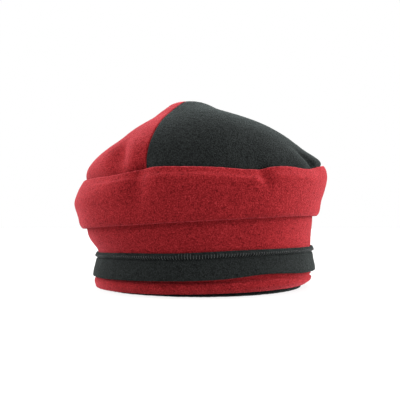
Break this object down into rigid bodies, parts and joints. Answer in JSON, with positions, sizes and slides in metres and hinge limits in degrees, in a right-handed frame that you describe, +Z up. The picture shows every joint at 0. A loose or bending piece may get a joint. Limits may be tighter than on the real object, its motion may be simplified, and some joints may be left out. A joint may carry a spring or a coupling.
{
  "type": "fleece beanie",
  "caption": "Soft slouched fleece beanie with a two-coloured crown, folded upper side, rolled hem, stitched sash and turned lining.",
  "frame": {"origin": "on the surface that the rim stands on, under the middle of the hat's box", "axes": "+Z up to the peak, -Y to the front, +X to the black half of the crown"},
  "size_m": [0.2224, 0.2168, 0.1632],
  "materials": {
    "red_fleece": "matt red polyester fleece with a short pilled nap",
    "black_fleece": "matt black polyester fleece with a short pilled nap"
  },
  "bodies": {
    "root": {"crown_left": "red_fleece", "crown_right": "black_fleece", "upper_side": "red_fleece", "lower_side": "red_fleece", "sash": "black_fleece", "lining": "black_fleece"}
  },
  "joints": []
}
